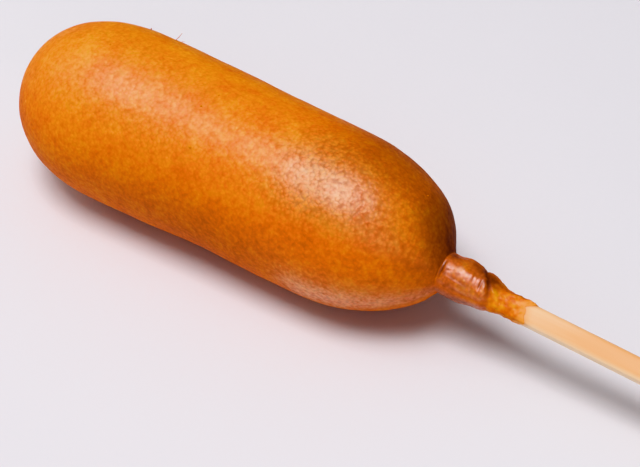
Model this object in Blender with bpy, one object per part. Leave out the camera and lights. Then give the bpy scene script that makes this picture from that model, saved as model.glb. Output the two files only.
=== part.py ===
"""A corn dog lying on its side: a fried corn batter coat on a squared wooden stick.

Units are metres and +Z is up. Each piece is modelled in the corn dog's own frame: its axis is the
X axis, the round tip of the batter is at x = 0, and the stick points along +X. Angles around that
axis are measured from +Y towards +Z. An empty then lays the corn dog down on z = 0, with the
origin under the middle of its bounding box.
"""

import math

import bmesh
import bpy
from mathutils import Matrix, Vector

# Batter coat: a straight taper between two rounded ends.
COAT_LENGTH = 0.1142
TIP_RADIUS = 0.0216  # of the tapering side, carried on to x = 0
FOOT_RADIUS = 0.0189  # of the tapering side, carried on to x = COAT_LENGTH
TIP_CAP_LENGTH = 0.0276
TIP_CAP_POWER = 2.14  # 2 is an ellipse, and more is blunter
FOOT_CAP_LENGTH = 0.0283
FOOT_CAP_POWER = 2.06

# Slow swells of the coat: height, wavelength along the axis, waves around it, and turn.
SWELLS = (
    (0.00022, 0.070, 1, 3.2),
    (0.00014, 0.043, 2, 2.3),
    (0.00008, 0.027, 3, 4.1),
)

# Collar of batter that crept down the stick: distance past the crease, mean radius, and how much
# thicker the collar is on its thick side.
COLLAR_STATIONS = (
    (0.0000, 0.00430, 0.00030),
    (0.0024, 0.00474, 0.00030),
    (0.0048, 0.00500, 0.00050),
    (0.0068, 0.00472, 0.00052),
    (0.0086, 0.00430, 0.00048),
    (0.0110, 0.00412, 0.00050),
    (0.0130, 0.00356, 0.00028),
    (0.0148, 0.00331, 0.00006),
    (0.0211, 0.00322, 0.00006),
)
COLLAR_THICK_SIDE = math.radians(40)
COLLAR_SQUARE_FROM = 0.0120  # past here the thin sleeve takes on the stick's section
COLLAR_SQUARENESS = 0.75
COLLAR_LUMPS = (
    (0.00009, 0.0063, 2, 0.9),
    (0.00006, 0.0049, 3, 3.7),
    (0.00004, 0.0037, 5, 1.8),
)
# Uneven hem of the collar: height of the waves, how many go round, and the angle of a crest.
HEM_WAVES = (
    (0.00060, 1, math.radians(50)),
    (0.00080, 3, math.radians(172)),
    (0.00018, 7, math.radians(20)),
)

# Stick: a square section with well rounded edges, a little off the coat's axis.
STICK_HALF_WIDTH = 0.00245
STICK_SQUARENESS = 4.0  # power of the superellipse
STICK_TURN = math.radians(32)
STICK_LENGTH = 0.140
STICK_PROTRUDES = 0.066  # past the coat's length
STICK_CHAMFER = 0.0004
STICK_LEAN_SIDE = math.radians(220)  # side towards which the stick is off axis
STICK_OFFSET = 0.0016  # at the crease
CREASE_OFFSET = 0.0013  # of the coat's foot, which meets the stick there
STICK_LEAN = math.radians(1.2)
FIT_GAP = 0.0003

# Resting flat.
FLAT_DEPTH = 0.00045

# Mesh density.
COAT_SEGMENTS = 56
TIP_RINGS = 13
SIDE_RINGS = 12
FOOT_RINGS = 14
COLLAR_RINGS = 22
STICK_SEGMENTS = 32

BATTER_COLOUR = (0.62, 0.20, 0.015, 1.0)
BATTER_ROUGHNESS = 0.42
WOOD_COLOUR = (0.80, 0.52, 0.29, 1.0)
WOOD_ROUGHNESS = 0.60


def clear_scene():
    """Removes whatever objects the open file holds."""
    for obj in list(bpy.data.objects):
        bpy.data.objects.remove(obj)


def principled(name, colour, roughness):
    """A plain material with the piece's colour and gloss."""
    material = bpy.data.materials.new(name)
    material.use_nodes = True
    shader = material.node_tree.nodes["Principled BSDF"]
    shader.inputs["Base Color"].default_value = colour
    shader.inputs["Roughness"].default_value = roughness
    shader.inputs["Metallic"].default_value = 0.0
    return material


def smoothstep(value, start, end):
    """Rises smoothly from 0 at start to 1 at end."""
    share = min(1.0, max(0.0, (value - start) / (end - start)))
    return share * share * (3.0 - 2.0 * share)


def side_radius(x):
    """Radius of the coat's straight taper at x."""
    return TIP_RADIUS + (FOOT_RADIUS - TIP_RADIUS) * x / COAT_LENGTH


def cap_share(reach, power):
    """Share of the full radius left at reach, from 0 where a rounded end starts to 1 at its pole."""
    return max(0.0, 1.0 - reach**power) ** (1.0 / power)


CREASE_RADIUS = COLLAR_STATIONS[0][1]


def crease_reach():
    """Reach along the foot's rounded end at which the collar starts."""
    share = CREASE_RADIUS / side_radius(COAT_LENGTH)
    return (1.0 - share**FOOT_CAP_POWER) ** (1.0 / FOOT_CAP_POWER)


CREASE_X = COAT_LENGTH - FOOT_CAP_LENGTH * (1.0 - crease_reach())
COLLAR_LENGTH = COLLAR_STATIONS[-1][0]
COLLAR_END_X = CREASE_X + COLLAR_LENGTH
STICK_END_X = COAT_LENGTH + STICK_PROTRUDES
STICK_START_X = STICK_END_X - STICK_LENGTH
SOCKET_START_X = STICK_START_X - FIT_GAP
SOCKET_HALF_WIDTH = STICK_HALF_WIDTH + FIT_GAP


def coat_outline():
    """(x, radius) from the tip's pole to the crease above the collar."""
    points = []
    for ring in range(TIP_RINGS):
        reach = math.cos(0.5 * math.pi * ring / TIP_RINGS)
        x = TIP_CAP_LENGTH * (1.0 - reach)
        points.append((x, side_radius(x) * cap_share(reach, TIP_CAP_POWER)))
    side_length = COAT_LENGTH - TIP_CAP_LENGTH - FOOT_CAP_LENGTH
    for ring in range(SIDE_RINGS):
        x = TIP_CAP_LENGTH + side_length * ring / SIDE_RINGS
        points.append((x, side_radius(x)))
    last_angle = math.asin(crease_reach())
    for ring in range(FOOT_RINGS):
        reach = math.sin(last_angle * ring / FOOT_RINGS)
        x = COAT_LENGTH - FOOT_CAP_LENGTH * (1.0 - reach)
        points.append((x, side_radius(x) * cap_share(reach, FOOT_CAP_POWER)))
    return points


def smooth_through(stations, at, column):
    """Value of a column at a place on the smooth curve through stations, which start with places."""
    last = len(stations) - 1
    span = next((i for i in range(last) if at <= stations[i + 1][0]), last - 1)
    before, start, end, after = (
        stations[min(last, max(0, i))] for i in (span - 1, span, span + 1, span + 2)
    )
    width = end[0] - start[0]
    share = min(1.0, max(0.0, (at - start[0]) / width))
    slope_start = width * (end[column] - before[column]) / (end[0] - before[0])
    slope_end = width * (after[column] - start[column]) / (after[0] - start[0])
    square, cube = share**2, share**3
    return (
        (2 * cube - 3 * square + 1) * start[column]
        + (cube - 2 * square + share) * slope_start
        + (3 * square - 2 * cube) * end[column]
        + (cube - square) * slope_end
    )


def collar_outline():
    """(x, mean radius) from the crease to the collar's hem."""
    points = []
    for ring in range(COLLAR_RINGS + 1):
        along = COLLAR_LENGTH * ring / COLLAR_RINGS
        points.append((CREASE_X + along, smooth_through(COLLAR_STATIONS, along, 1)))
    return points


def square_share(angle):
    """Radius of the stick's rounded square section at an angle, over its half width."""
    turned = angle - STICK_TURN
    power = STICK_SQUARENESS
    return (abs(math.cos(turned)) ** power + abs(math.sin(turned)) ** power) ** (-1.0 / power)


def off_axis(distance):
    """Point that far from the coat's axis, on the side towards which the stick is off it."""
    return Vector((0.0, math.cos(STICK_LEAN_SIDE), math.sin(STICK_LEAN_SIDE))) * distance


def stick_centre(x):
    """Centre of the stick's section at x, which leans a little off the coat's axis."""
    return off_axis(STICK_OFFSET + math.tan(STICK_LEAN) * (x - CREASE_X))


def waves(table, x, angle):
    """Sum of gentle waves that run along and around a piece."""
    return sum(
        height * math.sin(math.tau * x / length + turn) * math.cos(around * angle + 2.0 * turn)
        for height, length, around, turn in table
    )


def hem_shift(angle):
    """How far the collar's uneven hem runs past its mean length, at an angle."""
    return sum(height * math.cos(around * (angle - crest)) for height, around, crest in HEM_WAVES)


def at_angle(x, radius, angle, centre):
    """The point that far from a centre line, at an angle around it."""
    return Vector((x, radius * math.cos(angle), radius * math.sin(angle))) + centre


def shaped_coat(x, radius, angle):
    """Place of a point of the plain turned coat once it has its swells and meets the stick."""
    fullness = min(1.0, radius / side_radius(x))
    swell = waves(SWELLS, x, angle) * fullness**2
    drift = smoothstep(1.0 - fullness, 0.25, 1.0 - CREASE_RADIUS / FOOT_RADIUS)
    towards_stick = drift if x > 0.5 * COAT_LENGTH else 0.0
    return at_angle(x, radius + swell, angle, off_axis(CREASE_OFFSET * towards_stick))


def shaped_collar(x, radius, angle):
    """Place of a point of the plain turned collar once it has its lumps and its hem."""
    along = x - CREASE_X
    thicker = smooth_through(COLLAR_STATIONS, along, 2)
    lean = thicker * math.cos(angle - COLLAR_THICK_SIDE)
    clear_of_ends = smoothstep(along, 0.0, 0.002) * (1.0 - smoothstep(along, 0.017, 0.020))
    lumps = waves(COLLAR_LUMPS, x, angle) * clear_of_ends
    squareness = COLLAR_SQUARENESS * smoothstep(along, COLLAR_SQUARE_FROM, COLLAR_LENGTH)
    mean_share = 0.5 * (1.0 + 2.0 ** (0.5 - 1.0 / STICK_SQUARENESS))
    section = 1.0 + squareness * (square_share(angle) / mean_share - 1.0)
    stretched = x + hem_shift(angle) * smoothstep(along, 0.4 * COLLAR_LENGTH, COLLAR_LENGTH)
    return at_angle(stretched, radius * section + lean + lumps, angle, stick_centre(stretched))


def shaped_socket(x, radius, angle):
    """Place of a point of the plain turned socket: the stick's own section and the gap round it."""
    section = radius * square_share(angle)
    mouth = x + hem_shift(angle) if x > CREASE_X else x
    return at_angle(mouth, section, angle, stick_centre(mouth))


def shaped_batter(x, radius, angle):
    """Place of a point of the plain turned batter, whichever surface it is on."""
    in_socket = x > SOCKET_START_X - FIT_GAP and radius < SOCKET_HALF_WIDTH + FIT_GAP
    if in_socket:
        return shaped_socket(x, radius, angle)
    if x < CREASE_X:
        return shaped_coat(x, radius, angle)
    return shaped_collar(x, radius, angle)


def shaped_stick(x, radius, angle):
    """Place of a point of the plain turned stick once its section is square."""
    return at_angle(x, radius * square_share(angle), angle, stick_centre(x))


def turned(outline, segments, shape):
    """A closed mesh: the outline, (x, radius) pairs, spun about X and then moved by shape."""
    mesh = bmesh.new()
    line = [mesh.verts.new((x, radius, 0.0)) for x, radius in outline]
    edges = [mesh.edges.new(pair) for pair in zip(line, line[1:])]
    bmesh.ops.spin(
        mesh,
        geom=line + edges,
        cent=(0.0, 0.0, 0.0),
        axis=(1.0, 0.0, 0.0),
        angle=math.tau,
        steps=segments,
        use_merge=True,
    )
    bmesh.ops.remove_doubles(mesh, verts=mesh.verts, dist=1e-6)
    for vertex in mesh.verts:
        x, y, z = vertex.co
        vertex.co = shape(x, math.hypot(y, z), math.atan2(z, y))
    bmesh.ops.recalc_face_normals(mesh, faces=mesh.faces)
    return mesh


def batter_outline():
    """(x, radius) round the batter's half section: coat, collar, hem and the stick's socket."""
    socket = [(COLLAR_END_X, SOCKET_HALF_WIDTH), (SOCKET_START_X, SOCKET_HALF_WIDTH)]
    return coat_outline() + collar_outline() + socket + [(SOCKET_START_X, 0.0)]


def stick_outline():
    """(x, radius) round the stick's half section, with a chamfer at each end."""
    inner = STICK_HALF_WIDTH - STICK_CHAMFER
    return [
        (STICK_START_X, 0.0),
        (STICK_START_X, inner),
        (STICK_START_X + STICK_CHAMFER, STICK_HALF_WIDTH),
        (STICK_END_X - STICK_CHAMFER, STICK_HALF_WIDTH),
        (STICK_END_X, inner),
        (STICK_END_X, 0.0),
    ]


def laid_down():
    """Rotation that turns the tapering coat's lowest line level."""
    return Matrix.Rotation(math.atan2(TIP_RADIUS - FOOT_RADIUS, COAT_LENGTH), 3, "Y")


def cut_resting_flat(mesh):
    """Slices a thin sliver off the underside, so that the coat lies on a small flat."""
    down = laid_down().inverted() @ Vector((0.0, 0.0, -1.0))
    depth = max(vertex.co.dot(down) for vertex in mesh.verts) - FLAT_DEPTH
    everything = mesh.verts[:] + mesh.edges[:] + mesh.faces[:]
    cut = bmesh.ops.bisect_plane(
        mesh, geom=everything, plane_co=down * depth, plane_no=down, clear_outer=True, dist=1e-7
    )
    rim = [item for item in cut["geom_cut"] if isinstance(item, bmesh.types.BMEdge)]
    bmesh.ops.edgeloop_fill(mesh, edges=rim)
    bmesh.ops.recalc_face_normals(mesh, faces=mesh.faces)


def add_piece(name, mesh, material, parent):
    """Adds a modelled piece to the scene, shaded smooth, and returns its object."""
    data = bpy.data.meshes.new(name)
    mesh.to_mesh(data)
    mesh.free()
    data.shade_smooth()
    data.set_sharp_from_angle(angle=math.radians(40))
    data.materials.append(material)
    piece = bpy.data.objects.new(name, data)
    piece.parent = parent
    bpy.context.scene.collection.objects.link(piece)
    return piece


def place_on_surface(holder, pieces):
    """Lays the corn dog on z = 0, with the origin under the middle of its bounding box."""
    holder.rotation_euler = laid_down().to_euler()
    bpy.context.view_layer.update()
    corners = [piece.matrix_world @ vertex.co for piece in pieces for vertex in piece.data.vertices]
    low = Vector(min(corner[axis] for corner in corners) for axis in range(3))
    high = Vector(max(corner[axis] for corner in corners) for axis in range(3))
    middle = (low + high) / 2.0
    holder.location = (-middle.x, -middle.y, -low.z)


def main():
    """Builds the corn dog."""
    clear_scene()
    holder = bpy.data.objects.new("corn_dog", None)
    bpy.context.scene.collection.objects.link(holder)
    batter_mesh = turned(batter_outline(), COAT_SEGMENTS, shaped_batter)
    cut_resting_flat(batter_mesh)
    stick_mesh = turned(stick_outline(), STICK_SEGMENTS, shaped_stick)
    batter = principled("fried_batter", BATTER_COLOUR, BATTER_ROUGHNESS)
    wood = principled("stick_wood", WOOD_COLOUR, WOOD_ROUGHNESS)
    pieces = [
        add_piece("batter_coat", batter_mesh, batter, holder),
        add_piece("wooden_stick", stick_mesh, wood, holder),
    ]
    place_on_surface(holder, pieces)


main()
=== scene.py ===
"""Looks of a corn dog lying on its side: fried batter coat, wooden stick and a few loose crumbs.

Lengths are metres and +Z is up. A piece is first shaped in the corn dog's own frame, whose X axis
runs from the round tip of the batter, at x = 0, along the stick. Angles around that axis are
measured from +Y towards +Z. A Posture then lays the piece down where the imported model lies.
"""

import logging
import math
import random
from collections.abc import Callable, Mapping, Sequence
from dataclasses import dataclass
from enum import Enum

import bmesh
import bpy
from bmesh.types import BMesh
from bpy.types import Material, Node, NodeSocket, NodeTree, Object
from mathutils import Matrix, Vector, noise
from mathutils.bvhtree import BVHTree


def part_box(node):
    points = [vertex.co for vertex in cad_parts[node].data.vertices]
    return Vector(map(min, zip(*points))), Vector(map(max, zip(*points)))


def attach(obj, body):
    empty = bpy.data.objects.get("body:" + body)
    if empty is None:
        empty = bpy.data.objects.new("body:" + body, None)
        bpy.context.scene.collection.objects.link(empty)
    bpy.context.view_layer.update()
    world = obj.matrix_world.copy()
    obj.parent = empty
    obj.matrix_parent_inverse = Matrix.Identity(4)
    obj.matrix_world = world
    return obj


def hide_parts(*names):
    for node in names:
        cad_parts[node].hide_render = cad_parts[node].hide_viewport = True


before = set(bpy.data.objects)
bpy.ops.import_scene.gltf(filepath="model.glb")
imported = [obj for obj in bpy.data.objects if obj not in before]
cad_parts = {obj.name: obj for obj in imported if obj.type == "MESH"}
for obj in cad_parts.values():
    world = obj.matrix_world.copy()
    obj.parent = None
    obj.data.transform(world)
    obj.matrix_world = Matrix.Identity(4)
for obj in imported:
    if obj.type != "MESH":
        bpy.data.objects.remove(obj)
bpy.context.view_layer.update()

LOG = logging.getLogger("corn_dog")
BODY = "root"
MM = 0.001
ORIGIN = Vector((0.0, 0.0, 0.0)).freeze()

Pair = tuple[float, float]
Triple = tuple[float, float, float]
Colour = Triple
Station = tuple[float, ...]
Table = tuple[Station, ...]
Inputs = Mapping[str | int, object]

# What every piece of batter stores at each vertex for its finish to read.
CRUST_VALUES = ("browning_and_shading", "toasting_and_shade", "oil", "thinness", "grain")


class Zone(Enum):
    """The surfaces of the batter, from the tip to the inside of the stick's socket."""

    COAT = "coat"
    COLLAR = "collar"
    SOCKET = "socket"


# Curves and waves ---------------------------------------------------------------------------


def smoothstep(value: float, start: float, end: float) -> float:
    """Rises smoothly from 0 at start to 1 at end."""
    share = min(1.0, max(0.0, (value - start) / (end - start)))
    return share * share * (3.0 - 2.0 * share)


def hump(value: float, middle: float, half_width: float) -> float:
    """A bell curve of height 1 round a middle."""
    return math.exp(-(((value - middle) / half_width) ** 2))


def cap_share(reach: float, power: float) -> float:
    """Share of the full radius left at reach, from 0 where a rounded end starts to 1 at its pole."""
    return max(0.0, 1.0 - reach**power) ** (1.0 / power)


def smooth_through(stations: Sequence[Station], at: float, column: int) -> float:
    """Reads one column of a table of stations on a smooth curve through them.

    Args:
        stations: Rows that start with a place, in rising order.
        at: The place to read.
        column: Which value of the rows to read.

    Returns:
        The value of that column at that place.
    """
    last = len(stations) - 1
    span = next((i for i in range(last) if at <= stations[i + 1][0]), last - 1)
    places = (span - 1, span, span + 1, span + 2)
    before, start, end, after = (stations[min(last, max(0, i))] for i in places)
    width = end[0] - start[0]
    share = min(1.0, max(0.0, (at - start[0]) / width))
    slope_start = width * (end[column] - before[column]) / (end[0] - before[0])
    slope_end = width * (after[column] - start[column]) / (after[0] - start[0])
    square, cube = share**2, share**3
    return (
        (2 * cube - 3 * square + 1) * start[column]
        + (cube - 2 * square + share) * slope_start
        + (3 * square - 2 * cube) * end[column]
        + (cube - square) * slope_end
    )


def angle_between(one: float, other: float) -> float:
    """Signed difference of two angles, from -pi to pi."""
    return math.remainder(one - other, math.tau)


def rough(point: Vector, size: float, seed: float) -> float:
    """Smooth noise between about -1 and 1, with features of a size, different for each seed."""
    return noise.noise(point / size + Vector((seed, 2.0 * seed, -seed)))


def layered(point: Vector, layers: Sequence[Station]) -> float:
    """The sum of layers of rough noise, each with a strength, a size of its features and a seed."""
    return sum(strength * rough(point, size, seed) for strength, size, seed in layers)


# Shader graphs ------------------------------------------------------------------------------


class NodeGraph:
    """Adds nodes to one shader tree and links them."""

    def __init__(self, tree: NodeTree) -> None:
        """Starts on a tree, which keeps whatever nodes it has."""
        self.tree = tree

    def feed(self, node: Node, values: Inputs) -> None:
        """Links inputs of a node to other sockets, or sets them to plain values.

        Args:
            node: The node.
            values: What each input is fed, by the input's name or number.
        """
        for place, value in values.items():
            if isinstance(value, NodeSocket):
                self.tree.links.new(value, node.inputs[place])
            else:
                node.inputs[place].default_value = value

    def add(self, kind: str, values: Inputs | None = None, **settings: object) -> Node:
        """Adds a node.

        Args:
            kind: The node's Blender type.
            values: What its inputs are fed.
            **settings: Properties of the node to set first.

        Returns:
            The new node.
        """
        node = self.tree.nodes.new(kind)
        for name, setting in settings.items():
            setattr(node, name, setting)
        self.feed(node, values or {})
        return node

    def place(self) -> NodeSocket:
        """Where a point is on its piece."""
        return self.add("ShaderNodeTexCoord").outputs["Object"]

    def attribute(self, name: str) -> NodeSocket:
        """The number that the vertices of a piece store under a name."""
        return self.add("ShaderNodeAttribute", attribute_name=name).outputs["Fac"]

    def stretched(self, vector: NodeSocket, scale: Triple) -> NodeSocket:
        """The vector with each of its axes scaled."""
        return self.add("ShaderNodeMapping", {"Vector": vector, "Scale": scale}).outputs["Vector"]

    def swirled(self, vector: NodeSocket, scale: float, distance: float) -> NodeSocket:
        """The vector moved about by noise.

        Args:
            vector: The vector to move.
            scale: Features of the noise per metre.
            distance: How far each axis moves at most, in metres.

        Returns:
            The moved vector.
        """
        swirl = self.add("ShaderNodeTexNoise", {"Vector": vector, "Scale": scale})
        parts = {0: swirl.outputs["Color"], 1: (distance, distance, distance), 2: vector}
        return self.add("ShaderNodeVectorMath", parts, operation="MULTIPLY_ADD").outputs["Vector"]

    def noise(self, vector: NodeSocket, scale: object, *finer: float) -> NodeSocket:
        """Adds a noise texture.

        Args:
            vector: Where the noise is read.
            scale: Features per metre, as a number or a socket.
            *finer: Octaves of finer noise, how strong they are, and how far the noise is swirled.

        Returns:
            The noise, from 0 to 1.
        """
        sockets = ("Vector", "Scale", "Detail", "Roughness", "Distortion")
        return self.add("ShaderNodeTexNoise", dict(zip(sockets, (vector, scale, *finer)))).outputs[0]

    def specks(self, vector: NodeSocket, scale: float, size: float, share: float) -> NodeSocket:
        """Scattered round spots.

        Args:
            vector: Where the spots are read.
            scale: Cells per metre, at most one spot in each.
            size: Radius of the largest spot, in cells.
            share: Share of the cells that have a spot.

        Returns:
            A mask, 1 at the middle of a spot.
        """
        cells = self.add("ShaderNodeTexVoronoi", {"Vector": vector, "Scale": scale})
        chance = self.add("ShaderNodeSeparateColor", {"Color": cells.outputs["Color"]})
        radius = self.remap(chance.outputs["Red"], (1.0 - share, 1.0), (0.0, size))
        inside = self.math("DIVIDE", cells.outputs["Distance"], self.math("MAXIMUM", radius, 1e-4))
        return self.remap(inside, (0.35, 1.0), (1.0, 0.0))

    def pebbles(self, vector: NodeSocket, scale: float) -> NodeSocket:
        """Rounded grains packed side by side: 1 on top of a grain, and 0 between them."""
        values = {"Vector": vector, "Scale": scale, "Smoothness": 0.4}
        cells = self.add("ShaderNodeTexVoronoi", values, feature="SMOOTH_F1")
        return self.remap(cells.outputs["Distance"], (0.05, 0.80), (1.0, 0.0))

    def math(self, operation: str, first: object, second: object) -> NodeSocket:
        """The result of an operation on two numbers or sockets."""
        return self.add("ShaderNodeMath", {0: first, 1: second}, operation=operation).outputs[0]

    def remap(self, value: NodeSocket, source: Pair, target: Pair = (0.0, 1.0)) -> NodeSocket:
        """The value moved from one range to another, and clamped to it."""
        ends = dict(zip(("From Min", "From Max", "To Min", "To Max"), (*source, *target)))
        return self.add("ShaderNodeMapRange", {"Value": value, **ends}, clamp=True).outputs["Result"]

    def weighted(self, *terms: tuple[object, float]) -> NodeSocket:
        """The sum of values, each times its weight."""
        total: object = 0.0
        for value, weight in terms:
            parts = {0: value, 1: weight, 2: total}
            total = self.add("ShaderNodeMath", parts, operation="MULTIPLY_ADD").outputs[0]
        return total

    def ramp(self, factor: NodeSocket, stops: Sequence[tuple[float, Colour]]) -> NodeSocket:
        """The colour that a factor has on a ramp of (place, colour) stops."""
        node = self.add("ShaderNodeValToRGB", {"Fac": factor})
        elements = node.color_ramp.elements
        while len(elements) < len(stops):
            elements.new(1.0)
        for element, (place, colour) in zip(elements, stops):
            element.position = place
            element.color = (*colour, 1.0)
        return node.outputs["Color"]

    def mix(self, factor: object, under: object, over: object) -> NodeSocket:
        """The colour under another one, which shows as far as a factor says."""
        colours = [(*colour, 1.0) if isinstance(colour, tuple) else colour for colour in (under, over)]
        parts = dict(zip((0, 6, 7), (factor, *colours)))
        return self.add("ShaderNodeMix", parts, data_type="RGBA").outputs[2]

    def between(self, factor: object, first: object, second: object) -> NodeSocket:
        """The number that lies between two others, as far along as a factor says."""
        parts = {0: factor, 2: first, 3: second}
        return self.add("ShaderNodeMix", parts, data_type="FLOAT").outputs[0]

    def bumps(self, *layers: tuple[NodeSocket, float]) -> NodeSocket:
        """The normal of a surface raised by layers, each a height from 0 to 1 and a distance."""
        under: dict[str, object] = {}
        for height, distance in layers:
            node = self.add("ShaderNodeBump", {"Height": height, "Distance": distance, **under})
            under = {"Normal": node.outputs["Normal"]}
        return under["Normal"]

    def mottle(self, vector: NodeSocket, patches: float, grains: float, share: float) -> Node:
        """Places the shared mottle group.

        Args:
            vector: Where the pattern is read.
            patches: Patches per metre.
            grains: Grains per metre.
            share: How much of the mask is grain, from 0 to 1.

        Returns:
            The group's node, with the outputs Mask and Grain.
        """
        values = {"Vector": vector, "Patches": patches, "Grains": grains, "Grain share": share}
        return self.add("ShaderNodeGroup", values, node_tree=mottle_group())


def mottle_group() -> NodeTree:
    """The shared effect of uneven colour: patches with finer grain in them.

    Returns:
        A shader group that puts out Mask, from 0 to 1, and Grain, the finer part of it alone.
    """
    name = "mottle"
    if name in bpy.data.node_groups:
        return bpy.data.node_groups[name]
    tree = bpy.data.node_groups.new(name, "ShaderNodeTree")
    graph = NodeGraph(tree)
    tree.interface.new_socket(name="Vector", in_out="INPUT", socket_type="NodeSocketVector")
    for socket, default in (("Patches", 200.0), ("Grains", 1500.0), ("Grain share", 0.5)):
        made = tree.interface.new_socket(name=socket, in_out="INPUT", socket_type="NodeSocketFloat")
        made.default_value = default
    for socket in ("Mask", "Grain"):
        tree.interface.new_socket(name=socket, in_out="OUTPUT", socket_type="NodeSocketFloat")
    given = graph.add("NodeGroupInput").outputs
    middle_of_noise = (0.28, 0.72)
    patches = graph.noise(given["Vector"], given["Patches"], 2.5, 0.55, 0.4)
    grains = graph.noise(given["Vector"], given["Grains"], 1.5, 0.6, 0.2)
    patches = graph.remap(patches, middle_of_noise)
    grains = graph.remap(grains, middle_of_noise)
    mask = graph.between(given["Grain share"], patches, grains)
    graph.add("NodeGroupOutput", {"Mask": mask, "Grain": grains})
    return tree


def new_material(name: str) -> tuple[Material, NodeGraph, Node]:
    """Starts a material.

    Args:
        name: The material's name.

    Returns:
        The material, its graph, and its Principled shader.
    """
    material = bpy.data.materials.new(name)
    material.use_nodes = True
    tree = material.node_tree
    return material, NodeGraph(tree), tree.nodes["Principled BSDF"]


# Finishes -----------------------------------------------------------------------------------


@dataclass(frozen=True)
class FriedBatterFinish:
    """Deep fried corn batter: mottled golden brown under a thin film of oil.

    The piece's attribute browning_and_shading is 0.5 on plain batter, more where it browned and where
    painted shade darkens it, and less where it stayed golden and where painted light from the floor
    pales it. Its attribute toasting_and_shade is 1 where the crust is evenly dark, from deep brown crust
    and from painted shade, its attribute oil is 1 where the film of oil is thickest and 0 where the
    crust is dry, its attribute thinness is 1 where the batter is so thin that the wood shows through,
    and its attribute grain is how pebbly the crust is. Patterns are given in features per metre, and
    heights in metres.
    """

    golden: Colour = (0.93, 0.40, 0.020)
    plain: Colour = (0.80, 0.232, 0.0030)
    deep: Colour = (0.72, 0.140, 0.0022)
    browned: Colour = (0.44, 0.072, 0.0024)
    burnt: Colour = (0.140, 0.024, 0.003)
    # Dark colour for deep brown crust and for painted shade.
    toasted_and_shaded: Colour = (0.105, 0.014, 0.0012)
    crumb: Colour = (0.95, 0.50, 0.10)
    see_through: Colour = (0.92, 0.35, 0.060)
    patches: float = 150.0
    flecks: float = 780.0
    grains: float = 1900.0
    pebbles: float = 1250.0
    pebble_swirl: float = 0.0011
    streaks: Triple = (900.0, 200.0, 200.0)
    pale_specks: Triple = (300.0, 0.16, 0.16)
    dark_specks: Triple = (260.0, 0.15, 0.14)
    fleck_height: float = 0.000030
    pebble_height: float = 0.000045
    streak_height: float = 0.000012
    speck_height: float = 0.000040
    film_evenness: float = 0.45

    def build(self) -> Material:
        """Makes the material."""
        material, graph, shader = new_material("fried_batter")
        place = graph.place()
        browning_and_shading, toasting_and_shade, oil, thinness, grain = (graph.attribute(name) for name in CRUST_VALUES)
        patchy = graph.mottle(place, self.patches, self.flecks, 0.5).outputs
        crust = graph.mottle(place, self.flecks, self.grains, 0.5).outputs
        streaks = graph.noise(graph.stretched(place, self.streaks), 1.0, 2.0, 0.55, 0.3)
        pebbles = graph.pebbles(graph.swirled(place, self.flecks, self.pebble_swirl), self.pebbles)
        raised = graph.math("MULTIPLY", pebbles, grain)
        pale_specks = graph.specks(place, *self.pale_specks)
        dark_specks = graph.specks(graph.stretched(place, (1.0, 1.1, -0.9)), *self.dark_specks)
        tone = graph.weighted(
            (browning_and_shading, 1.0),
            (graph.math("SUBTRACT", patchy["Mask"], 0.5), 0.36),
            (graph.math("SUBTRACT", crust["Mask"], 0.5), 0.16),
            (graph.math("SUBTRACT", streaks, 0.5), 0.12),
            # Grain tops painted a little paler, painted light on the grains.
            (raised, -0.06),
            (dark_specks, 0.06),
            (1.0, 0.025),
        )
        stops = (
            (0.10, self.golden),
            (0.38, self.plain),
            (0.63, self.deep),
            (0.94, self.browned),
            (1.0, self.burnt),
        )
        colour = graph.ramp(tone, stops)
        colour = graph.mix(graph.math("MULTIPLY", pale_specks, 0.55), colour, self.crumb)
        uneven = graph.weighted((patchy["Mask"], 0.30), (1.0, 0.85))
        # Painted shade between the grains, deeper under the oil film; then the crust darkens evenly
        # where it is deep brown and where shade is painted.
        between_grains = graph.math("SUBTRACT", 0.55, raised)
        grain_shade = graph.weighted((between_grains, 0.12), (graph.math("MULTIPLY", oil, between_grains), 0.24))
        shade = graph.math("ADD", graph.math("MULTIPLY", toasting_and_shade, uneven), grain_shade)
        colour = graph.mix(shade, colour, self.toasted_and_shaded)
        ragged = graph.weighted((patchy["Mask"], 0.9), (1.0, 0.55))
        colour = graph.mix(graph.math("MULTIPLY", thinness, ragged), colour, self.see_through)
        thick = graph.weighted(
            (raised, 0.45), (patchy["Grain"], -0.22), (patchy["Mask"], -0.60), (1.0, 0.88)
        )
        film = graph.remap(graph.math("MULTIPLY", oil, thick), (0.0, 1.0))
        pebbled = (raised, self.pebble_height)
        streaked = (streaks, self.streak_height)
        flecked = (patchy["Grain"], self.fleck_height)
        evened = (raised, self.film_evenness * self.pebble_height)
        looks = {
            "Base Color": colour,
            "Roughness": graph.weighted((crust["Mask"], 0.16), (oil, -0.12), (1.0, 0.54)),
            "Normal": graph.bumps(flecked, pebbled, streaked, (pale_specks, self.speck_height)),
            "Specular IOR Level": 0.15,
            "Subsurface Weight": 0.06,
            "Subsurface Radius": (1.0, 0.30, 0.08),
            "Subsurface Scale": 0.0010,
            "Coat Weight": film,
            "Coat Roughness": 0.39,
            "Coat IOR": 1.8,
            "Coat Normal": graph.bumps(evened, streaked),
        }
        graph.feed(shader, looks)
        return material


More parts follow.
